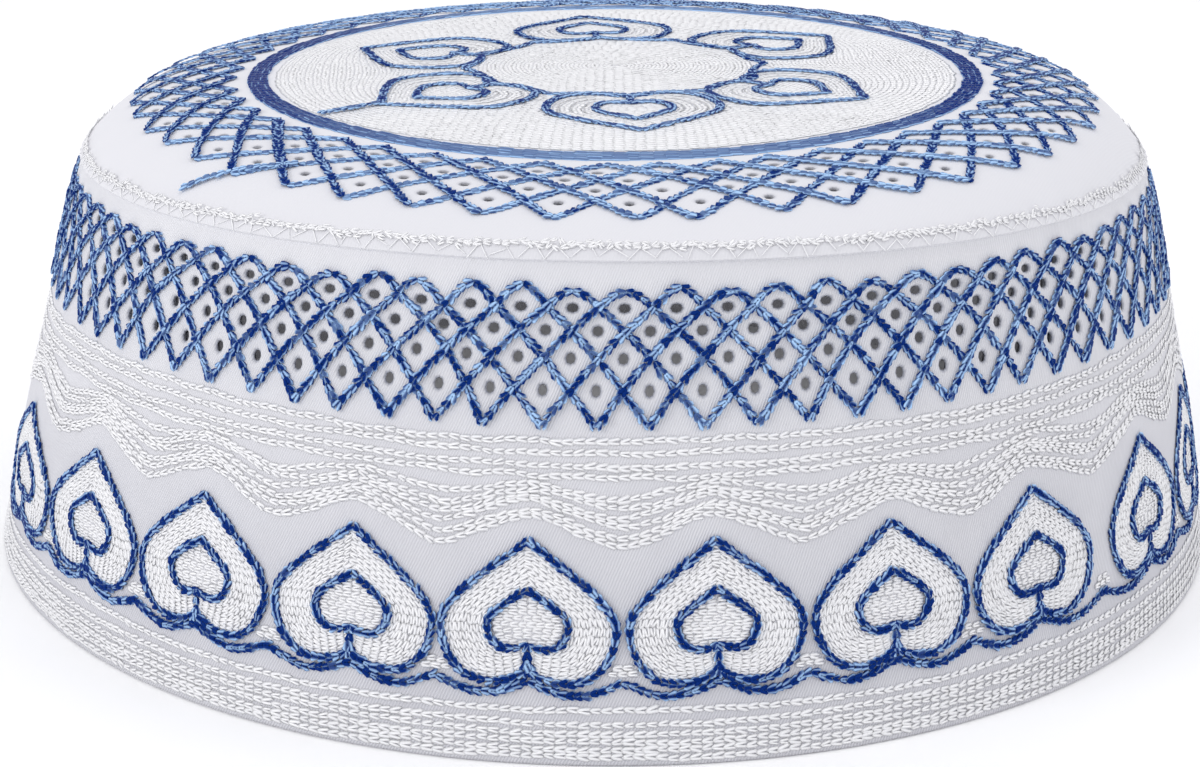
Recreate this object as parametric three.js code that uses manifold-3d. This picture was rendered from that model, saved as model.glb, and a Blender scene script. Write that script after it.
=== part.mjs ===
// A kufi: a round, brimless cap of white cotton. A tapered side band stands on its rim, and a shallow
// domed crown panel laps over the band's top edge. Embroidered eyelets pierce both panels.
// Millimetres, +Z up. The origin is the middle of the rim, where the cap stands on a table.
// Turns are measured from the front of the cap, which faces -Y, towards +X.
import * as THREE from "three";
import { mergeVertices } from "three/addons/utils/BufferGeometryUtils.js";
import Module from "manifold-3d";

const wasm = await Module();
wasm.setup();

// Driving dimensions
const wall = 2; // quilted cotton: two layers and the thread between them
const rimRadius = 94; // outside of the rim, a turn of 590 mm for a head of about 575 mm
const bandHeight = 61; // rim to the band's top edge, which the crown covers
const bandSlope = 0.25; // how far the band leans in for each millimetre of height
const rimRounding = 0.4; // the hem's outer corner
const lipHeight = 59.2; // lower edge of the crown's turned-down lip
const lipWall = 1.1; // the lip is one folded layer
const seamGap = 0.3; // the crown's clearance over the band

// The crown's outside along one radius, from its middle to the stitched ridge above the lip.
const crownStations = [
  { radius: 0, height: 68.2 },
  { radius: 30, height: 68.0 },
  { radius: 56, height: 67.1 },
  { radius: 68, height: 65.6 },
  { radius: 75, height: 63.6 },
  { radius: 78.6, height: 61.9 },
];
const crownSteps = 7; // straight steps along that radius
const searchSteps = 400; // finer steps that find the dome's height at one radius

// One ring of worked eyelets in each panel: how many, where, and the turn of the first one.
const eyeletRadius = 0.75;
const eyeletSides = 6;
const bandEyelets = { count: 80, height: 44.6, firstTurn: 3.35 };
const crownEyelets = { count: 48, radius: 67.9, firstTurn: 1.6 };
const crownFacetsPerEyelet = 2;

const cotton = new THREE.MeshStandardMaterial({
  color: "#ececf0",
  roughness: 0.9,
  metalness: 0,
});

const bandRadius = (height) => rimRadius - bandSlope * height;
const evenSteps = (count) => Array.from({ length: count + 1 }, (_, i) => i / count);

// A profile of (radius, height) points turned about +Z into a closed wall.
function turned(profile, facets, firstTurn) {
  const start = THREE.MathUtils.degToRad(firstTurn);
  return new THREE.LatheGeometry(profile, facets, start).rotateX(Math.PI / 2);
}

function solidOf(geometry) {
  const bare = geometry.clone();
  bare.deleteAttribute("normal");
  bare.deleteAttribute("uv");
  const merged = mergeVertices(bare, 1e-3);
  return new wasm.Manifold(
    new wasm.Mesh({
      numProp: 3,
      vertProperties: merged.attributes.position.array,
      triVerts: new Uint32Array(merged.index.array),
    }),
  );
}

function geometryOf(solid) {
  const { vertProperties, triVerts } = solid.getMesh();
  const geometry = new THREE.BufferGeometry();
  geometry.setAttribute("position", new THREE.BufferAttribute(vertProperties, 3));
  geometry.setIndex(new THREE.BufferAttribute(triVerts, 1));
  geometry.computeVertexNormals();
  return geometry;
}

// A peg through the wall at one radius and height for each eyelet, its axis raised by lift radians.
function eyeletPegs({ count, firstTurn }, radius, height, lift) {
  const pegs = [];
  for (let i = 0; i < count; i++) {
    const turn = THREE.MathUtils.degToRad(firstTurn + (i * 360) / count);
    const peg = new THREE.CylinderGeometry(eyeletRadius, eyeletRadius, 3 * wall, eyeletSides)
      .rotateZ(-Math.PI / 2)
      .rotateY(-lift)
      .translate(radius, 0, height)
      .rotateZ(turn - Math.PI / 2);
    pegs.push(peg);
  }
  return pegs;
}

function pierced(geometry, pegs) {
  const panel = pegs.reduce((left, peg) => left.subtract(solidOf(peg)), solidOf(geometry));
  return geometryOf(panel);
}

function cottonPanel(name, geometry) {
  const panel = new THREE.Mesh(geometry, cotton);
  panel.name = name;
  return panel;
}

// The side band: a straight tapered wall with a flat rim.
function sideBand() {
  const outside = [rimRounding, bandEyelets.height, bandHeight].map(
    (height) => new THREE.Vector2(bandRadius(height), height),
  );
  const inside = [bandHeight, bandEyelets.height, 0].map(
    (height) => new THREE.Vector2(bandRadius(height) - wall, height),
  );
  const hem = new THREE.Vector2(rimRadius - rimRounding, 0);
  const pitch = 360 / bandEyelets.count;
  const firstEdge = bandEyelets.firstTurn - pitch / 2;
  const tube = turned([hem, ...outside, ...inside, hem], bandEyelets.count, firstEdge);
  const { height } = bandEyelets;
  const pegs = eyeletPegs(bandEyelets, bandRadius(height), height, Math.atan(bandSlope));
  return cottonPanel("side_band", pierced(tube, pegs));
}

// The crown panel: a dome of even thickness whose edge turns down over the band as a thin lip.
function crownPanel() {
  const dome = new THREE.SplineCurve(
    crownStations.map(({ radius, height }) => new THREE.Vector2(radius, height)),
  );
  const steps = evenSteps(crownSteps);
  const outside = steps.map((u) => dome.getPointAt(u));
  const underside = steps.map((u) => {
    const along = dome.getTangentAt(u);
    return dome.getPointAt(u).add(new THREE.Vector2(along.y, -along.x).multiplyScalar(wall));
  });
  underside[0].x = 0; // the middle stays on the axis
  const seatHeight = bandHeight + seamGap;
  const lipInside = bandRadius(lipHeight) + seamGap;
  const lip = [
    new THREE.Vector2(lipInside + lipWall, lipHeight),
    new THREE.Vector2(lipInside, lipHeight),
    new THREE.Vector2(bandRadius(seatHeight) + seamGap, seatHeight),
  ];
  const inside = underside.filter((point) => point.y > seatHeight).reverse();
  const facets = crownEyelets.count * crownFacetsPerEyelet;
  const firstEdge = crownEyelets.firstTurn - 180 / crownEyelets.count;
  const shell = turned([...outside, ...lip, ...inside].reverse(), facets, firstEdge);
  const { radius } = crownEyelets;
  const across = evenSteps(searchSteps).find((u) => dome.getPointAt(u).x >= radius);
  const slope = dome.getTangentAt(across);
  const lift = Math.PI / 2 + Math.atan2(slope.y, slope.x);
  const pegs = eyeletPegs(crownEyelets, radius, dome.getPointAt(across).y, lift);
  return cottonPanel("crown_panel", pierced(shell, pegs));
}

const kufi = new THREE.Group();
kufi.add(sideBand(), crownPanel());

export default kufi;
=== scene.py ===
# %% [markdown]
# # A kufi, stitch by stitch
#
# A kufi is a round cap without a brim. This one is sewn from two panels of white cotton, a tapered
# side band and a shallow crown, and nearly all of it is covered in chain stitch. A bump map of
# stitches would look flat along the outline, so every stitch here is a small mesh laid on the cloth.

# %% Load the solids of the cap
import math

import bmesh
import bpy
import numpy as np
from mathutils import Matrix


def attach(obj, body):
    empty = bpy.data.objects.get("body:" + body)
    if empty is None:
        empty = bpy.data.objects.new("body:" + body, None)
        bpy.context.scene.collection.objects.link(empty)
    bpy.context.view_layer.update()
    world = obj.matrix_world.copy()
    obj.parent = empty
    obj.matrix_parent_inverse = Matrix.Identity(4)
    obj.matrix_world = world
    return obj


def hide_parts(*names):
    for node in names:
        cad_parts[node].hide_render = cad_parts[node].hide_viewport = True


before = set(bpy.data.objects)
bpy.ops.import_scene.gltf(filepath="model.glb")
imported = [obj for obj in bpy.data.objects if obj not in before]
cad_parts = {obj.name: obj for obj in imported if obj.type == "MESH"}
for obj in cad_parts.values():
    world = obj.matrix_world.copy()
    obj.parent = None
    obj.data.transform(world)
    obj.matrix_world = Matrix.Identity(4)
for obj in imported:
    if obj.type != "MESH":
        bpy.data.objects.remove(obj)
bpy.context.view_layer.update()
mm = 0.001
print("solids:", ", ".join(sorted(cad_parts)))

# %% [markdown]
# ## Camera
#
# The camera stands in front of the cap and a little above it. A long lens from far away would flatten
# the cap, but here the near rim looks much wider than the crown, so the camera is close: about 26 cm in
# front of the wall. It was held a touch askew, so it also has a slight turn and roll.

# %% Place the camera
camera_distance = 352.2 * mm
camera_height = 137.4 * mm
camera_pitch = math.radians(18.8)
camera_turn = math.radians(0.33)
camera_roll = math.radians(-0.35)

camera = bpy.data.objects.new("camera", bpy.data.cameras.new("camera"))
camera.data.sensor_width = 36
camera.data.lens = 70.7
camera.location = (0, -camera_distance, camera_height)
camera.rotation_euler = (math.pi / 2 - camera_pitch, camera_roll, camera_turn)
bpy.context.scene.collection.objects.link(camera)
bpy.context.scene.camera = camera
print("camera at", [round(v, 3) for v in camera.location])

# %% [markdown]
# ## The two surfaces
#
# All the sewing lies on two surfaces, so they come first, as functions. The band is a straight taper,
# read from the solid. The crown stays nearly flat and then rolls over at its edge: a low and a high
# power of the radius added together give that roll with no table of points. From here on, lengths are
# in millimetres, and a turn is in degrees from the front of the cap towards its right side.

# %% Measure the solids
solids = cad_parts.items()
corners = {name: np.array([v.co for v in solid.data.vertices]) / mm for name, solid in solids}
band_corners, crown_corners = corners["side_band"], corners["crown_panel"]


def radii(points):
    return np.hypot(points[:, 0], points[:, 1])


band_top = band_corners[:, 2].max()
rim_radius = radii(band_corners).max()
band_slope = (rim_radius - radii(band_corners[band_corners[:, 2] > band_top - 0.1]).max()) / band_top
crown_top = crown_corners[:, 2].max()
lip_edge = crown_corners[:, 2].min()
lip_radius = radii(crown_corners).max()
ridge_radius = lip_radius - 2.0  # where the crown's cloth folds down
roll_radius = lip_radius - 0.4  # where the dome would have fallen by all of its dish and roll
dish, roll = 1.6, 5.6  # the crown's slow fall from the middle, and the quick one at its edge
lip_stand = 0.9  # pressed flat, the crown's turned edge stands this far off the band
up = np.array([0.0, 0.0, 1.0])
print(f"rim {2 * rim_radius:.1f} mm across, crown {crown_top:.1f} mm high, band slope {band_slope:.3f}")


# %% Points and normals on each surface
def outward(turn):
    angle = np.radians(turn)
    return np.stack([np.sin(angle), -np.cos(angle), np.zeros_like(angle)], axis=-1)


def unit(vectors):
    return vectors / np.linalg.norm(vectors, axis=-1, keepdims=True)


def on_band(turn, height):
    turn, height = np.broadcast_arrays(np.asarray(turn, float), np.asarray(height, float))
    point = outward(turn) * (rim_radius - band_slope * height)[..., None] + up * height[..., None]
    return point, unit(outward(turn) + band_slope * up)


def dome(radius):
    share = radius / roll_radius
    return crown_top - dish * share**2 - roll * share**8


def on_crown(turn, radius):
    turn, radius = np.broadcast_arrays(np.asarray(turn, float), np.asarray(radius, float))
    share = radius / roll_radius
    slope = (dish * 2 * share + roll * 8 * share**7) / roll_radius
    point = outward(turn) * radius[..., None] + up * dome(radius)[..., None]
    return point, unit(outward(turn) * slope[..., None] + up)


def on_lip(turn, share):
    """The turned edge of the crown: share 0 is the ridge and 1 the lower edge."""
    turn, share = np.broadcast_arrays(np.asarray(turn, float), np.asarray(share, float))
    ridge_height = dome(ridge_radius)
    spread = rim_radius - band_slope * lip_edge + lip_stand - ridge_radius
    fall = ridge_height - lip_edge
    point = outward(turn) * (ridge_radius + share * spread)[..., None]
    point = point + up * (ridge_height - share * fall)[..., None]
    return point, unit(outward(turn) * fall + up * spread)


# %% [markdown]
# Soft cloth never stands quite round. This cap leans a little to one side, its crown sinks at the front
# and tilts up to the back, and its shoulders slump at both sides, where the hollow inside holds nothing
# up. Under that weight the sides of the wall belly out half-way up and draw in at the rim. The left side
# swells a little and has a dent behind it, and the crown's lattice is pulled outward at both sides. One
# function bends every point that way, cloth and stitches alike, so nothing comes apart.

# %% Let the cap settle
lean = 1.3
tilt = 0.7
side_rise = 0.4
back_rise = 1.2
front_sag = 2.6
shoulder_slump = 3.2
slump_radius, slump_height = 70, 50  # the slump starts here on the crown and on the band
side_belly, side_tuck, tuck_height = 0.25, 0.7, 25
swell, swell_turn = 1.7, -68
dent, dent_turn = 4.5, -93
dent_width, dent_height, dent_rise = 11, 23, 10  # spread in degrees, middle height and spread in height
pull, pull_from, pull_to = 1.3, 57, 72  # radii of the crown between which the lattice is pulled outward


def settle(points):
    x, y, z = points.T
    across = x / roll_radius
    back = np.maximum(y, 0) / roll_radius
    front = np.minimum(y, 0) / roll_radius
    radius = radii(points)
    inside = np.clip(1 - (radius / ridge_radius) ** 16, 0, 1) * (z > lip_edge)
    from_middle = (radius - slump_radius) / (ridge_radius - slump_radius)
    from_rim = (z - slump_height) / (dome(ridge_radius) - slump_height)
    near_ridge = np.where(radius < ridge_radius, from_middle, from_rim)
    belly = side_belly * np.sin(np.pi * np.clip(z / band_top, 0, 1))
    tuck = side_tuck * np.clip(1 - z / tuck_height, 0, 1) ** 1.5
    sideways = x / np.maximum(radius, 1)
    turn = np.degrees(np.arctan2(x, -y))
    hollow = dent * np.exp(-(((turn - dent_turn) / dent_width) ** 2) / 2)
    swelling = swell * np.exp(-(((turn - swell_turn) / dent_width) ** 2) / 2)
    bulge = (swelling - hollow) * np.exp(-(((z - dent_height) / dent_rise) ** 2) / 2)
    in_ring = np.clip((radius - pull_from) / (pull_to - pull_from), 0, 1) * (z > lip_edge)
    outward_by = pull * sideways**2 * np.sin(np.pi * in_ring) + bulge
    settled = points.copy()
    settled[:, :2] *= (1 + outward_by / np.maximum(radius, 1))[:, None]
    settled[:, 0] += lean * (z / crown_top - 0.5) + (belly - tuck) * sideways
    settled[:, 2] += inside * (side_rise * across**2 + back_rise * back**2 - front_sag * front**4)
    settled[:, 2] += inside * tilt * across
    settled[:, 2] -= shoulder_slump * across**2 * np.clip(near_ridge, 0, 1) ** 1.5
    return settled


# %% [markdown]
# ## Finishes
#
# Three materials cover the cap: cotton twill, white thread and blue thread. One helper adds a node,
# sets it up and links it, and one function turns the sRGB colours of a paint chart into the linear
# values that shaders need.

# %% Helpers for materials
def linear(hex_colour):
    channels = [int(hex_colour[i : i + 2], 16) / 255 for i in (1, 3, 5)]
    return [c / 12.92 if c <= 0.04045 else ((c + 0.055) / 1.055) ** 2.4 for c in channels] + [1]


def add_node(material, kind, inputs, **settings):
    made = material.node_tree.nodes.new(kind)
    for name, value in settings.items():
        setattr(made, name, value)
    for socket, value in inputs.items():
        if isinstance(value, bpy.types.NodeSocket):
            material.node_tree.links.new(value, made.inputs[socket])
        else:
            made.inputs[socket].default_value = value
    return made


def new_finish(name):
    finish = bpy.data.materials.new(name)
    finish.use_nodes = True
    finish.node_tree.nodes.clear()
    return finish


def blend_of(finish, factor, dark, light):
    mixed = add_node(
        finish,
        "ShaderNodeMix",
        {"Factor": factor, "A": linear(dark), "B": linear(light)},
        data_type="RGBA",
    )
    return mixed.outputs["Result"]


# %% [markdown]
# Cotton twill is woven so that each thread steps over its neighbours, which draws fine slanting lines
# across the cloth. It scatters light evenly and hardly shines. The lines are a wave texture on the
# cloth's own map, which is in metres, so their spacing is a real size. By height, the cloth is painted
# a little greyer towards the rim: painted shade on the lower wall. The ribs fade on the crown, which
# looks smoother. An attribute that the eyelets carry paints the dimple round each hole grey: painted
# shade in the recess.

# %% White cotton twill
twill_spacing = 0.38 * mm  # given, as the real lines are too fine to count
twill_slant = math.radians(24)
slub_length = 9 * mm  # thicker and thinner stretches of yarn
# painted shade: below the first height the cloth is painted greyest, above the second it keeps its own colour
shade_full_below, shade_gone_above = 8 * mm, 56 * mm
ribbed_below, smooth_above = 57 * mm, 61 * mm
wave_period = 0.314  # Blender's band waves repeat at this length when their scale is 1


def cotton_twill():
    """Woven cotton: a matt white with faint slanting ribs, and no gleam."""
    finish = new_finish("white_cotton_twill")
    cloth_map = add_node(finish, "ShaderNodeUVMap", {}, uv_map="cloth").outputs["UV"]
    slanted = add_node(
        finish, "ShaderNodeMapping", {"Vector": cloth_map, "Rotation": (0, 0, twill_slant)}
    ).outputs["Vector"]
    ribs = add_node(
        finish,
        "ShaderNodeTexWave",
        {"Vector": slanted, "Scale": wave_period / twill_spacing, "Distortion": 1.2, "Detail": 1.0},
    ).outputs["Fac"]
    slub = add_node(
        finish, "ShaderNodeTexNoise", {"Vector": cloth_map, "Scale": 1 / slub_length, "Detail": 3.0}
    ).outputs["Fac"]
    here = add_node(finish, "ShaderNodeTexCoord", {}).outputs["Object"]
    height = add_node(finish, "ShaderNodeSeparateXYZ", {"Vector": here}).outputs["Z"]
    lit_share = add_node(
        finish, "ShaderNodeMapRange", {"Value": height, "From Min": shade_full_below, "From Max": shade_gone_above}
    ).outputs["Result"]
    fade = add_node(
        finish,
        "ShaderNodeMapRange",
        {
            "Value": height,
            "From Min": ribbed_below,
            "From Max": smooth_above,
            "To Min": 1.0,
            "To Max": 0.15,
        },
    ).outputs["Result"]
    uneven = add_node(
        finish, "ShaderNodeMath", {0: ribs, 1: slub}, operation="MULTIPLY"
    ).outputs["Value"]
    relief = add_node(
        finish, "ShaderNodeMath", {0: uneven, 1: fade}, operation="MULTIPLY"
    ).outputs["Value"]
    # a shaded and a lit twill colour, mixed by height: painted shade towards the rim
    shaded_twill = blend_of(finish, relief, "#bebec4", "#e4e4e8")
    lit_twill = blend_of(finish, relief, "#d9d9dd", "#ebebee")
    even = add_node(
        finish, "ShaderNodeMix", {"Factor": lit_share, "A": shaded_twill, "B": lit_twill}, data_type="RGBA"
    ).outputs["Result"]
    # painted shade: the eyelet attribute mixes grey into the cloth in each hole's dimple
    eyelet = add_node(finish, "ShaderNodeAttribute", {}, attribute_name="eyelet").outputs["Fac"]
    colour = add_node(
        finish, "ShaderNodeMix", {"Factor": eyelet, "A": even, "B": linear("#9a9da8")}, data_type="RGBA"
    ).outputs["Result"]
    bump = add_node(
        finish, "ShaderNodeBump", {"Height": ribs, "Strength": fade, "Distance": 0.05 * mm}
    ).outputs["Normal"]
    shader = add_node(
        finish,
        "ShaderNodeBsdfPrincipled",
        {"Base Color": colour, "Normal": bump, "Roughness": 0.85, "IOR": 1.5, "Sheen Weight": 0.15},
    )
    add_node(finish, "ShaderNodeOutputMaterial", {"Surface": shader.outputs["BSDF"]})
    return finish


white_cotton = cotton_twill()
print("made", white_cotton.name)

# %% [markdown]
# Embroidery thread is spun rayon: two plies twisted together, smooth enough to gleam. Each strand of a
# stitch carries a map that runs along and around it, and slanted waves on that map are the plies, each
# with a painted highlight. The head of a strand, where it bends up out of the cloth, is painted lighter:
# a painted highlight. A tone of its own for each strand keeps a long row from looking printed.

# %% Glossy rayon thread, white and blue
plies_per_strand = 2
ply_slant = math.radians(20)


def rayon_thread(name, dark, light, gleam, fuzz):
    """Twisted rayon: a deep colour in the grooves, and painted highlights as pale lines along the plies."""
    finish = new_finish(name)
    strand_map = add_node(finish, "ShaderNodeUVMap", {}, uv_map="strand").outputs["UV"]
    twisted = add_node(
        finish, "ShaderNodeMapping", {"Vector": strand_map, "Rotation": (0, 0, ply_slant)}
    ).outputs["Vector"]
    plies = add_node(
        finish, "ShaderNodeTexWave", {"Vector": twisted, "Scale": wave_period * plies_per_strand}
    ).outputs["Fac"]
    tone = add_node(finish, "ShaderNodeAttribute", {}, attribute_name="tone").outputs["Fac"]
    # painted highlight: the sharpened ply waves paint a pale glint along each ply
    painted_glint = add_node(
        finish, "ShaderNodeMath", {0: plies, 1: 3.0}, operation="POWER"
    ).outputs["Value"]
    lit = add_node(
        finish, "ShaderNodeMath", {0: painted_glint, 1: 0.8, 2: tone}, operation="MULTIPLY_ADD"
    ).outputs["Value"]
    along = add_node(finish, "ShaderNodeSeparateXYZ", {"Vector": strand_map}).outputs["Y"]
    # painted highlight at the head of each strand
    head = add_node(
        finish, "ShaderNodeMapRange", {"Value": along, "From Min": 0.4, "From Max": 0.1, "To Max": 0.6}
    ).outputs["Result"]
    shade = add_node(finish, "ShaderNodeMath", {0: lit, 1: head}, operation="ADD").outputs["Value"]
    colour = blend_of(finish, shade, dark, light)
    bump = add_node(
        finish, "ShaderNodeBump", {"Height": plies, "Strength": 0.4, "Distance": 0.05 * mm}
    ).outputs["Normal"]
    shader = add_node(
        finish,
        "ShaderNodeBsdfPrincipled",
        {
            "Base Color": colour,
            "Normal": bump,
            "Roughness": 0.32,
            "Specular IOR Level": gleam,
            "Sheen Weight": fuzz,
        },
    )
    add_node(finish, "ShaderNodeOutputMaterial", {"Surface": shader.outputs["BSDF"]})
    return finish


white_thread = rayon_thread("white_rayon_thread", "#efeff1", "#fcfcfd", gleam=0.5, fuzz=0.2)
blue_thread = rayon_thread("blue_rayon_thread", "#0a2c74", "#b3d7fd", gleam=0.02, fuzz=0.0)
print("made", white_thread.name, "and", blue_thread.name)

# %% [markdown]
# ## The cloth
#
# Each panel is a profile spun round the cap's axis. The steps of the spin are half a lattice cell wide,
# so in the lattice the faces form a chequerboard, and every second face is the place of an eyelet.
# Insetting that face, pushing it in and deleting its middle leaves a square hole in a dimple.
# Subdivision rounds the hole, and Solidify then gives the cloth its thickness. A grey is kept on the
# points of each eyelet and mixed into the cotton's colour: painted shade in the dimple.

# %% Spin a panel and open its eyelets
# Corner reach, depth and painted shade of two squares, which subdivision rounds
funnel = [(1.55, 0.12, 0.05), (0.95, 0.35, 1.0)]


def spun_panel(profile, steps, first_turn):
    """profile is a list of (radius, height) points from one end of the panel to the other."""
    cloth = bmesh.new()
    start = outward(np.float64(first_turn))
    rail = [cloth.verts.new(start * radius + up * height) for radius, height in profile]
    for low, high in zip(rail, rail[1:]):
        cloth.edges.new((low, high))
    bmesh.ops.spin(
        cloth,
        geom=cloth.verts[:] + cloth.edges[:],
        cent=(0, 0, 0),
        axis=(0, 0, 1),
        angle=math.tau,
        steps=steps,
        use_merge=True,
    )
    bmesh.ops.remove_doubles(cloth, verts=cloth.verts, dist=0.01)
    bmesh.ops.recalc_face_normals(cloth, faces=cloth.faces)
    return cloth


def turn_of(point):
    return math.degrees(math.atan2(point.x, -point.y))


def open_eyelets(cloth, rows, measure, steps, first_turn, strength=1.0):
    """rows holds the (low, high) limits of each row of eyelets, in the measure's own millimetres."""
    places = []
    eyelet_shade = cloth.verts.layers.float.new("eyelet")
    for face in cloth.faces:
        middle = face.calc_center_median()
        column = int((turn_of(middle) - first_turn) % 360 // (360 / steps))
        for row, (low, high) in enumerate(rows):
            if low < measure(middle) < high and (column + row) % 2 == 0:
                places.append(face)
    # each ring's grey is painted shade in the dimple, darkest at the hole's edge
    for reach, depth, grey in funnel:
        bmesh.ops.inset_individual(cloth, faces=places, thickness=0.1, depth=-strength * depth)
        for face in places:
            middle = face.calc_center_median()
            for vert in face.verts:
                vert.co = middle + (vert.co - middle).normalized() * reach
                vert[eyelet_shade] = strength * grey
    bmesh.ops.delete(cloth, geom=places, context="FACES_ONLY")
    return len(places)


# %% [markdown]
# A finished piece gets its mesh in metres, the bend of the settled cap, a map for its weave and a body
# to ride on. The band's map unrolls it; the crown's map is its plan, as it was cut from flat cloth.

# %% Turn a panel into a piece
def lay_cloth(cloth, name, node, thickness, chart):
    spots = settle(np.array([vert.co for vert in cloth.verts])) * mm
    cloth_map = cloth.loops.layers.uv.new("cloth")
    for face in cloth.faces:
        middle = face.calc_center_median()
        for loop in face.loops:
            loop[cloth_map].uv = chart(loop.vert.co, middle)
    for vert, spot in zip(cloth.verts, spots):
        vert.co = spot
    mesh = bpy.data.meshes.new(name)
    cloth.to_mesh(mesh)
    cloth.free()
    mesh.shade_smooth()
    mesh.materials.append(white_cotton)
    piece = bpy.data.objects.new(name, mesh)
    bpy.context.scene.collection.objects.link(piece)
    rounding = piece.modifiers.new("rounding", "SUBSURF")
    rounding.levels = rounding.render_levels = 1
    wall = piece.modifiers.new("wall", "SOLIDIFY")
    wall.thickness = thickness * mm
    wall.offset = -1
    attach(piece, "root")
    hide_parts(node)
    return piece


def unrolled(point, middle):
    turn = turn_of(middle) + (turn_of(point) - turn_of(middle) + 180) % 360 - 180
    return math.radians(turn) * rim_radius * mm, point.z * mm


def plan(point, middle):
    return point.x * mm, point.y * mm


# %% [markdown]
# The band's lattice has eighty cells round the cap and four rows of eyelets. The rows grow taller
# towards the rim, so each row of eyelets lies on the same curve as the blue lines that will cross
# between them: a tip height, a first step, and a little more with every step.

# %% The side band
band_cells = 80
band_tip_turn = 1.1
band_lattice = {"tip": 56.6, "step": 1.85, "growth": 0.28, "rows": 5}


def lattice_level(lattice, step):
    return lattice["tip"] - lattice["step"] * step - lattice["growth"] * step**2


def eyelet_rows(lattice):
    edges = [lattice_level(lattice, row + 0.5) for row in range(lattice["rows"])]
    return [tuple(sorted(pair)) for pair in zip(edges, edges[1:])]


band_thickness = 1.8
band_rows = eyelet_rows(band_lattice)
band_steps = 2 * band_cells
band_first_turn = band_tip_turn - 180 / band_steps
plain_heights = [0, 0.7, 4, 7.5, 11, 15, 19, 23, 27, 31, 34.5, 38, 58.4, band_top]
band_heights = sorted(plain_heights + [band_rows[0][1]] + [low for low, high in band_rows])
band_profile = [(rim_radius - band_slope * height, height) for height in band_heights]

band_cloth = spun_panel(band_profile, band_steps, band_first_turn)
band_holes = open_eyelets(band_cloth, band_rows, lambda p: p.z, band_steps, band_first_turn)
side_band = lay_cloth(band_cloth, "side_band_cloth", "side_band", band_thickness, unrolled)
print(side_band.name, "with", band_holes, "eyelets")

# %% [markdown]
# The crown's lattice has forty-eight cells, and its rows are counted by radius instead of height. The
# cloth lies flatter there, so its eyelets are shallower and get less painted shade than the band's. The
# profile goes on over the ridge and down the turned edge, so the fold is part of the same cloth.

# %% The crown
crown_cells = 48
crown_tip_turn = 1.6
crown_lattice = {"tip": 71.8, "step": 4.17, "growth": -0.24, "rows": 5}
crown_thickness = 1.0
crown_strength = 0.4  # the share of the band's depth and greyness that a crown eyelet has
lip_end = 0.66  # the fold of the turned edge lies a little above the solid's lower edge

crown_rows = eyelet_rows(crown_lattice)
crown_steps = 2 * crown_cells
crown_first_turn = crown_tip_turn - 180 / crown_steps
plain_radii = [0, 8, 18, 28, 38, 47, 53, 73, 75.5, 77.4, ridge_radius]
crown_radii = sorted(plain_radii + [crown_rows[0][1]] + [low for low, high in crown_rows])
crown_profile = [(radius, dome(radius)) for radius in crown_radii]
lip_points = on_lip(np.zeros(3), np.array([0.3, 0.6, lip_end]))[0]
crown_profile += [(-y, z) for x, y, z in lip_points]

crown_cloth = spun_panel(crown_profile, crown_steps, crown_first_turn)
crown_holes = open_eyelets(
    crown_cloth,
    crown_rows,
    lambda p: math.hypot(p.x, p.y),
    crown_steps,
    crown_first_turn,
    strength=crown_strength,
)
crown = lay_cloth(crown_cloth, "crown_cloth", "crown_panel", crown_thickness, plan)
print(crown.name, "with", crown_holes, "eyelets")

# %% [markdown]

# %% [markdown]
# ## One chain stitch
#
# In chain stitch the thread leaves a hole, makes a loop and goes back into the same hole, and the next
# stitch holds the loop down. What shows is a pair of plump strands, closed at the tail and open at the
# head. A sphere with few faces is pulled into one strand, bowed, splayed and mirrored into the other.
# The same function makes every kind of link: plump ones for the band's blue lines, lower ones for the
# crown's, slim ones for the white rows and the fillings, long ones that run together into a cord, and
# wide flat ones for the crown's white rounds. The rounds are drawn wider than the real ones, and fewer,
# because each narrower row would cost thousands of faces.

# %% Model a link
def strand(length, width, height, sides, rings):
    thread = bmesh.new()
    thread.loops.layers.uv.new("strand")
    bmesh.ops.create_uvsphere(thread, u_segments=sides, v_segments=rings, radius=0.5, calc_uvs=True)
    lie_down = Matrix.Rotation(math.radians(-90), 3, "Y")
    bmesh.ops.rotate(thread, verts=thread.verts, cent=(0, 0, 0), matrix=lie_down)
    if sides == 4:
        flat_top = Matrix.Rotation(math.radians(45), 3, "X")
        bmesh.ops.rotate(thread, verts=thread.verts, cent=(0, 0, 0), matrix=flat_top)
    bmesh.ops.scale(thread, verts=thread.verts, vec=(length, width, height))
    bmesh.ops.triangulate(thread, faces=thread.faces)
    return thread


def chain_link(length, width, height, sides, rings, splay, pitch_down):
    apart, bow = 0.15 * width, 0.08 * width
    link = strand(length, 0.68 * width, height, sides, rings)
    for vert in link.verts:
        vert.co.y += bow * (1 - (2 * vert.co.x / length) ** 2)
    turned = Matrix.Rotation(math.radians(splay), 3, "Z")
    bmesh.ops.rotate(link, verts=link.verts, cent=(0, 0, 0), matrix=turned)
    bmesh.ops.translate(link, verts=link.verts, vec=(0, apart, 0.18 * height))
    both = link.verts[:] + link.edges[:] + link.faces[:]
    bmesh.ops.mirror(link, geom=both, matrix=Matrix.Identity(4), merge_dist=1e-6, axis="Y")
    nose_down = Matrix.Rotation(math.radians(pitch_down), 3, "Y")
    bmesh.ops.rotate(link, verts=link.verts, cent=(0, 0, 0), matrix=nose_down)
    bmesh.ops.recalc_face_normals(link, faces=link.faces)
    return link


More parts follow.
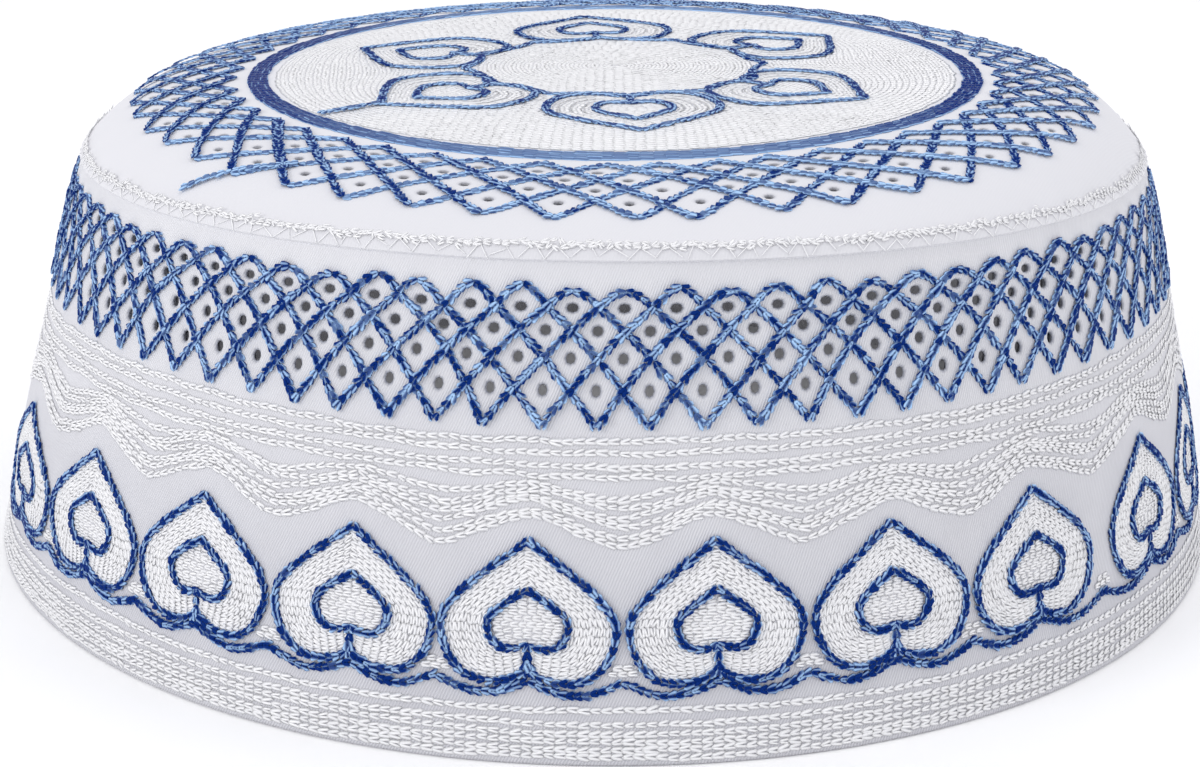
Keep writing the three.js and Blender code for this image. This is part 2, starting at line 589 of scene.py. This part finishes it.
blue_pitch, white_pitch = 1.0, 1.4
blue_link = chain_link(1.5, 1.15, 0.62, sides=4, rings=3, splay=22, pitch_down=8)
low_link = chain_link(1.5, 1.25, 0.45, sides=4, rings=3, splay=22, pitch_down=5)
white_link = chain_link(1.95, 0.88, 0.4, sides=3, rings=3, splay=9, pitch_down=5)
fill_link = chain_link(1.6, 0.85, 0.34, sides=3, rings=3, splay=8, pitch_down=4)
cord_link = chain_link(2.8, 1.25, 0.42, sides=4, rings=3, splay=3, pitch_down=2)
flat_link = chain_link(2.3, 1.5, 0.11, sides=3, rings=3, splay=6, pitch_down=1)
print("links of", len(blue_link.faces), "and", len(white_link.faces), "triangles")

# %% [markdown]
# ## Sewing
#
# Thousands of separate objects would be slow, and so would thousands of operator calls. A row of
# stitches is worked out as arrays instead: a line drawn on a panel is cut into even steps, and each
# step is a seat with a place, a normal and a direction. Then all copies of a link become one mesh, with
# small random shifts and twists, because a hand guided the machine.

# %% Seats along a line, and the mesh that joins the links
def seats_along(panel, path, pitch, lift=0.0):
    """path holds the turns of a line and its heights on the band, radii on the crown or shares of the lip."""
    places, normals = panel(*path)
    places = places + lift * normals
    run = np.concatenate([[0], np.cumsum(np.linalg.norm(np.diff(places, axis=0), axis=1))])
    count = max(1, round(run[-1] / pitch))
    stations = (np.arange(count) + 0.5) * run[-1] / count

    def at(offset, values):
        return np.stack([np.interp(stations + offset, run, column) for column in values.T], axis=-1)

    reach = 0.45 * run[-1] / count
    along = at(reach, places) - at(-reach, places)
    return np.hstack([at(0, places), unit(at(0, normals)), unit(along)])


def sew(name, link, seats, thread, seed, tones=(0, 0.35), painted_sheen=0.0, swing=6, loose=1.0):
    """tones limits the random tone of a strand, and swing is the usual twist of a link in degrees.

    The sheen argument paints a highlight on links that run from side to side, across the light, and
    painted shade on those that run from front to back.
    loose is how much of the plies' pattern and of the painted highlight at the head a link shows: little
    in a tight cord.
    """
    draw = np.random.default_rng(seed)
    seats = np.vstack(seats)
    count = len(seats)
    place, normal, along = seats[:, :3], seats[:, 3:6], seats[:, 6:]
    across = unit(np.cross(normal, along))
    place = place + across * draw.normal(0, 0.05, (count, 1))
    twist = draw.normal(0, math.radians(swing), (count, 1))
    along = along * np.cos(twist) + across * np.sin(twist)
    across = unit(np.cross(normal, along))
    size = draw.normal(1, 0.08, (count, 1, 1))
    link.verts.index_update()
    shape = np.array([vert.co for vert in link.verts])
    axes = np.stack([along, across, normal], axis=1)
    points = place[:, None, :] + size * np.einsum("vk,nkd->nvd", shape, axes)
    points = settle(points.reshape(-1, 3)) * mm
    triangle = np.array([[vert.index for vert in face.verts] for face in link.faces])
    triangles = (triangle + len(shape) * np.arange(count)[:, None, None]).reshape(-1)
    strand_map = link.loops.layers.uv["strand"]
    unrolled_link = np.array([loop[strand_map].uv for face in link.faces for loop in face.loops])

    mesh = bpy.data.meshes.new(name)
    mesh.vertices.add(len(points))
    mesh.vertices.foreach_set("co", points.ravel())
    mesh.loops.add(len(triangles))
    mesh.loops.foreach_set("vertex_index", triangles)
    mesh.polygons.add(len(triangles) // 3)
    mesh.polygons.foreach_set("loop_start", np.arange(0, len(triangles), 3))
    strand_uvs = np.tile(unrolled_link, (count, 1, 1))
    strand_uvs[:, :, 0] += loose * draw.uniform(0, 1, (count, 1))
    strand_uvs[:, :, 1] = 0.5 + loose * (strand_uvs[:, :, 1] - 0.5)
    mesh.uv_layers.new(name="strand").data.foreach_set("uv", strand_uvs.ravel())
    # painted sheen: links that run across are lightened, those that run front to back darkened
    tone = draw.uniform(*tones, (count, 2)) + painted_sheen * (along[:, :1] ** 2 - 0.5)
    which_strand = np.arange(len(shape)) * 2 // len(shape)
    tone_layer = mesh.attributes.new("tone", "FLOAT", "POINT")
    tone_layer.data.foreach_set("value", tone[:, which_strand].ravel())
    mesh.update(calc_edges=True)
    mesh.shade_smooth()
    mesh.materials.append(thread)
    piece = bpy.data.objects.new(name, mesh)
    bpy.context.scene.collection.objects.link(piece)
    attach(piece, "root")
    print(name, "has", count, "stitches and", len(mesh.polygons), "triangles")
    return piece


# %% [markdown]
# ## Blue lattices
#
# Every lattice line starts at a tip, steps half a cell sideways for each row and ends at a tip on the
# other side. Lines that lean one way are sewn first and lie lower; the others cross over them. A hand
# guides the machine, so the tips stray a little, and the two lines that share a tip stray together.
# On the band the outer tips are round arches, because there each line starts flat and then falls.

# %% Sew both lattices
under, over = 0.05, 0.25  # how high the lower and the upper lines lie


def lattice_seats(panel, lattice, cells, tip_turn, arch, seed):
    draw = np.random.default_rng(seed)
    rows = lattice["rows"]
    step = np.linspace(0, rows, 41)
    level = lattice_level(lattice, np.where(step < 1, step**arch, step))
    tip_stray = draw.normal(0, 0.05, cells)
    tip_rise = draw.normal(0, 0.25, cells)
    end_stray = draw.normal(0, 0.05, cells)
    lines = []
    for lean_way, lift in ((1, under), (-1, over)):
        for cell in range(cells):
            end = end_stray[(cell + (lean_way - 1) // 2 * rows) % cells]
            bow = draw.normal(0, 0.06) * np.sin(math.pi * step / rows)
            stray = tip_stray[cell] * (1 - step / rows) + end * step / rows + bow
            turn = tip_turn + (cell + lean_way * step / 2 + stray) * 360 / cells
            rise = tip_rise[cell] * np.clip(1 - step, 0, 1)
            lines.append(seats_along(panel, (turn, level + rise), blue_pitch, lift))
    return lines


band_net = lattice_seats(on_band, band_lattice, band_cells, band_tip_turn, 1.6, seed=11)
sew("band_lattice_blue", blue_link, band_net, blue_thread, seed=12, tones=(-0.3, 0.25))
crown_net = lattice_seats(on_crown, crown_lattice, crown_cells, crown_tip_turn, 1.2, seed=13)
# painted sheen: the crown's blue starts at a higher tone than the band's, and links across it are lightened
sew(
    "crown_lattice_blue",
    low_link,
    crown_net,
    blue_thread,
    seed=14,
    tones=(-0.1, 0.25),
    painted_sheen=0.45,
)

# %% [markdown]
# ## Hearts
#
# Half a heart is three Bezier curves: from the tip to the widest point, round the lobe, and up into the
# notch. Four measures place them, and fixed shares of those measures place the handles, so the same
# function draws the large outline, the small one inside it and every row of filling in between.

# %% Draw a heart
def bezier(start, lead, trail, end):
    t = np.linspace(0, 1, 17)[:, None]
    corners_of = [np.array(p, float) for p in (start, lead, trail, end)]
    weights = [(1 - t) ** 3, 3 * t * (1 - t) ** 2, 3 * t**2 * (1 - t), t**3]
    return sum(w * p for w, p in zip(weights, corners_of))


def half_heart(tip, widest, lobe, notch):
    (wide, wide_at), (low, low_at) = widest, lobe
    side = bezier(
        (0, tip),
        (0.45 * wide, tip - 0.36 * (tip - wide_at)),
        (wide, wide_at + 0.31 * (tip - wide_at)),
        widest,
    )
    belly = bezier(
        widest, (wide, wide_at - 0.55 * (wide_at - low_at)), (low + 0.55 * (wide - low), low_at), lobe
    )
    fold = bezier(lobe, (0.5 * low, low_at), (0.05 * low, low_at + 0.35 * (notch - low_at)), (0, notch))
    return np.vstack([side, belly[1:], fold[1:]])


def both_halves(half):
    return np.vstack([half[::-1] * (-1, 1), half[1:]])


def heart_drawings(outer, inner, stem):
    """Both halves of an outline run from the notch to the tip, so their last stitches meet there."""
    return [half[::-1] * (side, 1) for half in (outer, inner) for side in (-1, 1)] + [stem]


# %% [markdown]
# The band carries twenty-four hearts, tips up. A heart is drawn flat, in millimetres, and then wrapped:
# a sideways distance becomes a turn by dividing it by the band's radius at that height. The spacing was
# marked by hand, so a few hearts stray from even steps, and those at the sides stand a little askew.

# %% Sew the hearts of the band
heart_count = 24
first_heart_turn = -6.2
heart_tip, heart_foot = 26.9, 10.3
heart_lift, scallop_lift = 0.2, 0.05
scallop_height, scallop_depth = 10.0, 1.65
skew, side_skew, side_squat = 0.5, 1.5, 1.0  # how far a foot shifts, and a tip drops, at the sides
outer_heart = half_heart(tip=heart_tip, widest=(10.85, 16.2), lobe=(5.2, 9.75), notch=12.0)
inner_heart = half_heart(tip=21.0, widest=(5.0, 16.8), lobe=(2.4, 13.8), notch=14.5)
stem = np.array([(0, 14.5), (0, heart_foot)])
even_turns = first_heart_turn + np.arange(heart_count) * 360 / heart_count
heart_strays = np.zeros(heart_count)
heart_strays[4] = 2.5
heart_strays[5:20] = np.linspace(3.0, -4.0, 15)
heart_strays[20:] = 0.35


def strayed(turn):
    return turn + np.interp(turn, even_turns, heart_strays, period=360)


def wrapped(drawing, turn):
    side, height = drawing.T
    to_side = np.sin(np.radians(turn))
    below_tip = (heart_tip - height) / (heart_tip - heart_foot)
    askew = (skew - side_skew * to_side) * below_tip
    squat = side_squat * np.clip(-to_side, 0, 1) * (1 - below_tip)
    return turn + np.degrees((side + askew) / (rim_radius - band_slope * height)), height - squat


heart_turns = strayed(even_turns)
row_turn = np.linspace(0, 360, heart_count * 40 + 1)
arcs = np.abs(np.sin(np.radians(heart_count * (row_turn - first_heart_turn))))
scallop = scallop_height - scallop_depth * arcs
scallop_line = np.stack([np.zeros_like(row_turn), scallop], axis=1)
heart_seats = [seats_along(on_band, wrapped(scallop_line, strayed(row_turn)), blue_pitch, scallop_lift)]
for turn in heart_turns:
    for drawing in heart_drawings(outer_heart, inner_heart, stem):
        heart_seats.append(seats_along(on_band, wrapped(drawing, turn), blue_pitch, heart_lift))
sew("band_hearts_blue", blue_link, heart_seats, blue_thread, seed=21, tones=(-0.4, 0.1))

# %% [markdown]
# White chain fills each heart. The rows between the two outlines are blends of them, so seven even
# shares give seven rows that follow the shape. The small heart is filled by straight rows across it, and
# two short rows close the gap between neighbours, just above the scalloped line.

# %% Fill the hearts of the band
fill_pitch = 1.15
core_step, core_margin = 0.75, 0.6  # between straight rows, and from a row's end to the outline
ring_shares = np.linspace(0, 1, 9)[1:-1]
gusset_rows = [(11.0, 1.9), (11.8, 1.3)]  # height and half width, between two hearts


def core_rows(inner):
    """Straight rows across the small heart."""
    edge = inner[:33][::-1]
    levels = np.arange(edge[0, 1] + 0.7, edge[-1, 1] - 0.9, core_step)
    half_widths = np.interp(levels, edge[:, 1], edge[:, 0]) - core_margin
    return [np.array([(-half, level), (half, level)]) for level, half in zip(levels, half_widths)]


fill_seats = []
for turn in heart_turns:
    for share in ring_shares:
        drawing = both_halves((1 - share) * outer_heart + share * inner_heart)
        fill_seats.append(seats_along(on_band, wrapped(drawing, turn), fill_pitch))
    for drawing in core_rows(inner_heart):
        fill_seats.append(seats_along(on_band, wrapped(drawing, turn), fill_pitch))
for turn in strayed(even_turns + 180 / heart_count):
    for height, half_width in gusset_rows:
        drawing = np.array([(-half_width, height), (half_width, height)])
        fill_seats.append(seats_along(on_band, wrapped(drawing, turn), fill_pitch))
sew("band_hearts_white", fill_link, fill_seats, white_thread, seed=22)

# %% [markdown]
# ## White rows of the band
#
# Straight rows quilt the rim and the strip under the lattice. Between that strip and the hearts, wavy
# rows rise over each heart and sag between them, a little deeper from row to row. No row is quite
# level: each one wanders slowly up and down, and the wavy ones the most.

# %% Sew the white rows
rim_rows = [6.5, 4.9, 3.8, 2.8, 1.85, 0.95]
strip_rows = [38.7, 37.35, 35.8, 34.6]
wave_count = 6
wave_peaks = np.linspace(33.7, 30.0, wave_count)
wave_valleys = np.linspace(32.0, 26.1, wave_count)
rim_wander, strip_wander, wave_wander = 0.12, 0.25, 0.35
wander_rates = (7, 13, 22, 37, 61)  # waves in one turn of the cap

row_draw = np.random.default_rng(30)


def wander(turn, size):
    """A slow drift that closes on itself: a few sine waves with drawn heights and starts."""
    starts = row_draw.uniform(0, math.tau, len(wander_rates))
    heights = row_draw.normal(0, size / 2, len(wander_rates))
    waves = []
    for k, (rate, start, height) in enumerate(zip(wander_rates, starts, heights)):
        waves.append(math.sqrt(1 / (k + 1)) * height * np.sin(np.radians(rate * turn) + start))
    return sum(waves)


phase = (row_turn - first_heart_turn) * heart_count % 360
round_sag = 0.5 - 0.5 * np.cos(np.radians(phase))
sag = 0.5 * round_sag + 0.5 * (1 - np.abs(phase - 180) / 180)


def level_rows(heights, size):
    return [seats_along(on_band, (row_turn, h + wander(row_turn, size)), white_pitch) for h in heights]


rim_seats = level_rows(rim_rows, rim_wander)
sew("band_rim_white", white_link, rim_seats, white_thread, seed=31)
row_seats = level_rows(strip_rows, strip_wander)
for peak, valley in zip(wave_peaks, wave_valleys):
    height = peak + (valley - peak) * sag + wander(row_turn, wave_wander)
    row_seats.append(seats_along(on_band, (strayed(row_turn), height), white_pitch))
sew("band_rows_white", white_link, row_seats, white_thread, seed=32)

# %% [markdown]
# ## Motifs of the crown
#
# Six hearts stand round the middle of the crown with their tips outward, joined by a scalloped ring,
# and three rows of chain close the field. Those three lie so tight that they look like one cord, so the
# outer ring is a piece of its own, with long, even links. The hearts are drawn flat and then turned to a
# plan of turns and radii. One thread was carried from a heart to the ring, one lattice line was sewn
# twice, and its thread ends in a loose tail.

# %% Sew the crown's blue motifs
crown_turns = [-111, -51.5, 5, 57, 126, 187]
crown_outer = half_heart(tip=42.2, widest=(12.2, 29.8), lobe=(6.2, 20.6), notch=23.0)
crown_inner = half_heart(tip=36.2, widest=(5.4, 30.2), lobe=(2.7, 26.2), notch=27.2)
crown_stem = np.array([(0, 22.6), (0, 27.2)])
ring_radii = [52.5, 53.45, 54.4]
cord_pitch = 1.7
scalloped_radius, scalloped_depth = 22.7, 1.8
ring_lift, motif_lift, carried_lift = 0.1, 0.2, 0.35
carried_thread = np.array([(-51.7, 42.2), (-52.0, 47.6), (-52.6, 51.5)]).T
doubled_step = np.linspace(0.8, 4.7, 9)
doubled_line = (-35.3 - 180 / crown_cells * doubled_step, lattice_level(crown_lattice, doubled_step))
tail = np.array([(-37.9, 66.6), (-41.2, 69.5), (-44.1, 72.3), (-46.2, 74.6), (-47.6, 76.8)]).T


def polar(drawing, turn):
    side, reach = drawing.T
    return turn + np.degrees(np.arctan2(side, reach)), np.hypot(side, reach)


full_turn = np.linspace(0, 360, 721)
crown_arcs = np.abs(np.sin(np.radians(len(crown_turns) * (full_turn - crown_turns[2]))))
inner_ring = scalloped_radius - scalloped_depth * crown_arcs


def circle_seats(radius, pitch):
    return seats_along(on_crown, (full_turn, np.full_like(full_turn, radius)), pitch)


ring_seats = [circle_seats(radius, cord_pitch) for radius in ring_radii]
# painted sheen on the ring, lighter where it runs across the crown
sew(
    "crown_ring_blue",
    cord_link,
    ring_seats,
    blue_thread,
    seed=40,
    tones=(0.06, 0.16),
    painted_sheen=0.35,
    swing=2,
    loose=0.2,
)
motif_seats = [seats_along(on_crown, (full_turn, inner_ring), blue_pitch, ring_lift)]
for path in (carried_thread, doubled_line, tail):
    motif_seats.append(seats_along(on_crown, path, blue_pitch, carried_lift))
for turn in crown_turns:
    for drawing in heart_drawings(crown_outer, crown_inner, crown_stem):
        motif_seats.append(seats_along(on_crown, polar(drawing, turn), blue_pitch, motif_lift))
# painted sheen: the crown hearts start at a higher tone than the band's, and links across them are lightened
sew(
    "crown_motifs_blue",
    low_link,
    motif_seats,
    blue_thread,
    seed=41,
    tones=(-0.1, 0.2),
    painted_sheen=0.45,
)

# %% [markdown]
# White rounds fill what is left of the crown: circles in the middle, rows inside the hearts, and rows
# outside them that bend inward between the hearts. A row that runs into a heart stops at its outline:
# the heart's half width at each distance tells which seats lie inside it.

# %% Fill the crown
middle_radii = np.arange(1.2, 20.5, 1.25)
field_rows, field_radius, field_step = 23, 50.4, 0.86
first_bend, bend_step = 0.3, 0.36  # how far a row bends inward between the hearts
field_inside = 22.5  # no row of the field comes nearer to the middle than this
outline_margin = 0.6


def outside_hearts(seats):
    turn = np.arctan2(seats[:, 0], -seats[:, 1])
    radius = radii(seats)
    outline = crown_outer[:33][::-1]
    keep = radius > field_inside
    for heart_turn in crown_turns:
        off = turn - math.radians(heart_turn)
        half_width = np.interp(radius * np.cos(off), outline[:, 1], outline[:, 0], left=0, right=0)
        keep &= np.abs(radius * np.sin(off)) > half_width + outline_margin * (half_width > 0)
    return seats[keep]


between = 0.5 - 0.5 * np.cos(np.radians(len(crown_turns) * (full_turn - crown_turns[2])))
round_seats = [circle_seats(radius, white_pitch) for radius in middle_radii]
for row in range(field_rows):
    bend = first_bend + bend_step * row
    radius = field_radius - field_step * row - bend * between
    round_seats.append(outside_hearts(seats_along(on_crown, (full_turn, radius), white_pitch)))
for turn in crown_turns:
    for share in ring_shares[::2]:
        drawing = both_halves((1 - share) * crown_outer + share * crown_inner)
        round_seats.append(seats_along(on_crown, polar(drawing, turn), white_pitch))
    for drawing in core_rows(crown_inner):
        round_seats.append(seats_along(on_crown, polar(drawing, turn), white_pitch))
# painted light: the rounds' tones start high, lifting the shade between their close rows
sew("crown_rounds_white", flat_link, round_seats, white_thread, seed=42, tones=(0.2, 0.6))

# %% [markdown]
# ## The crown seam
#
# The crown's raw edge is turned over the band and overcast: a zigzag holds the turned edge down, and
# its upper points pull up a row of small loops along the ridge.

# %% Sew the seam
zigzag_legs = 300
zigzag_high, zigzag_low = 0.03, 0.6  # shares of the lip that the legs run between
loop_rows = (-0.04, 0.08)
seam_draw = np.random.default_rng(50)
zigzag_turn = np.linspace(0, 360, zigzag_legs + 1)
zigzag_turn[1:-1] += seam_draw.normal(0, 0.25, zigzag_legs - 1)
zigzag_share = np.where(np.arange(zigzag_legs + 1) % 2 == 0, zigzag_high, zigzag_low)
zigzag_share[1:-1] += seam_draw.normal(0, 0.08, zigzag_legs - 1)
points, normals = on_lip(zigzag_turn, zigzag_share)
leg_middles = (points[1:] + points[:-1]) / 2 + 0.08 * normals[1:]
legs = np.hstack([leg_middles, normals[1:], unit(np.diff(points, axis=0))])
zigzag_bar = strand(2.6, 0.17, 0.15, 4, 4)
sew("crown_zigzag_white", zigzag_bar, [legs], white_thread, seed=51)
loop_pitch = 1.25
loop_link = chain_link(1.3, 0.65, 0.24, sides=3, rings=3, splay=12, pitch_down=5)
loops = []
for share in loop_rows:
    loop_shares = seam_draw.normal(share, 0.08, len(full_turn))
    loops.append(seats_along(on_lip, (full_turn, loop_shares), loop_pitch, 0.05))
sew("crown_loops_white", loop_link, loops, white_thread, seed=52, swing=16)

# %% [markdown]
# ## Floor and light
#
# The cap stands on a pale floor under soft light from all round, as on a photographer's table. A floor
# of one flat face is enough: matt paper, which shows only the cap's soft shadow.

# %% Floor
floor_reach = 3  # metres from the cap to the floor's edge
floor_drop = 0.2 * mm

floor_bm = bmesh.new()
bmesh.ops.create_grid(floor_bm, x_segments=1, y_segments=1, size=floor_reach)
bmesh.ops.translate(floor_bm, verts=floor_bm.verts, vec=(0, 0, -floor_drop))
floor_mesh = bpy.data.meshes.new("floor")
floor_bm.to_mesh(floor_mesh)
floor_bm.free()
pale_floor = new_finish("pale_paper_floor")
paper = add_node(
    pale_floor, "ShaderNodeBsdfPrincipled", {"Base Color": linear("#fdfdfd"), "Roughness": 0.9}
)
add_node(pale_floor, "ShaderNodeOutputMaterial", {"Surface": paper.outputs["BSDF"]})
floor_mesh.materials.append(pale_floor)
floor = bpy.data.objects.new("floor", floor_mesh)
bpy.context.scene.collection.objects.link(floor)
print("floor", 2 * floor_reach, "m wide")

# %% [markdown]
# A large lamp above makes the crown brighter than the wall, one from the front left draws the gleam on
# the threads, and a weak one from the right keeps that side from going grey. Cotton also lets some
# light through. An opaque shader can't do that, so a very weak lamp inside the cap stands for it, and
# the eyelets aren't black.

# %% Light
world = bpy.data.worlds.new("studio")
bpy.context.scene.world = world
world.use_nodes = True
world.node_tree.nodes["Background"].inputs["Color"].default_value = linear("#fbfbff")
world.node_tree.nodes["Background"].inputs["Strength"].default_value = 0.845


def softbox(name, place, aim, size, power):
    lamp = bpy.data.lights.new(name, "AREA")
    lamp.size = size
    lamp.energy = power
    box = bpy.data.objects.new(name, lamp)
    bpy.context.scene.collection.objects.link(box)
    box.location = place
    direction = np.array(aim) - np.array(place)
    pitch = math.atan2(math.hypot(direction[0], direction[1]), -direction[2])
    box.rotation_euler = (pitch, 0, math.atan2(-direction[0], direction[1]))
    return box


softbox("top_light", (0.1, 0.15, 1.1), (0, 0, 0.05), 0.9, 2.8)
softbox("front_light", (-0.95, -0.6, 0.6), (0, 0, 0.03), 0.5, 3.6)
softbox("side_light", (0.9, -0.2, 0.5), (0, 0, 0.03), 0.5, 0.9)
glow = bpy.data.objects.new("light_through_the_cloth", bpy.data.lights.new("glow", "POINT"))
glow.data.energy = 0.018
glow.data.shadow_soft_size = 0.03
glow.location = (0, 0, 0.035)
bpy.context.scene.collection.objects.link(glow)
scene = bpy.context.scene
scene.view_settings.view_transform = "Standard"
